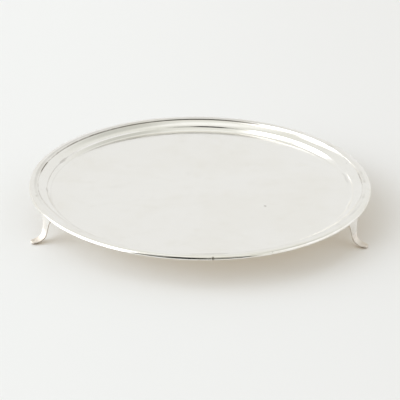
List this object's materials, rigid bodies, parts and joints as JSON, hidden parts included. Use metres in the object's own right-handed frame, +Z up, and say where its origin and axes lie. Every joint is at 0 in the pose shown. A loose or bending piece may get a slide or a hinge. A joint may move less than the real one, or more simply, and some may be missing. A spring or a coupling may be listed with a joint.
{
  "type": "silver salver",
  "caption": "Plain round silver salver: a flat well inside a stepped and moulded border, raised on cast feet with turned-out, dished toes.",
  "frame": {"origin": "on the salver's axis, in the plane that its soles stand on", "axes": "+Z up along the salver's axis; one foot points along +Y, and the others stand a third of a turn to each side of it"},
  "size_m": [0.305, 0.3168, 0.027],
  "materials": {
    "plate_silver": "polished sterling silver with fine wiping scratches",
    "moulding_silver": "bright polished sterling silver",
    "foot_silver": "polished cast sterling silver",
    "silver_solder": "dull silver solder"
  },
  "bodies": {
    "root": {"salver_plate": "plate_silver", "rim_moulding": "moulding_silver", "rim_solder": "silver_solder", "foot_back": "foot_silver", "foot_left": "foot_silver", "foot_right": "foot_silver", "foot_solder_back": "silver_solder", "foot_solder_left": "silver_solder", "foot_solder_right": "silver_solder"}
  },
  "joints": []
}
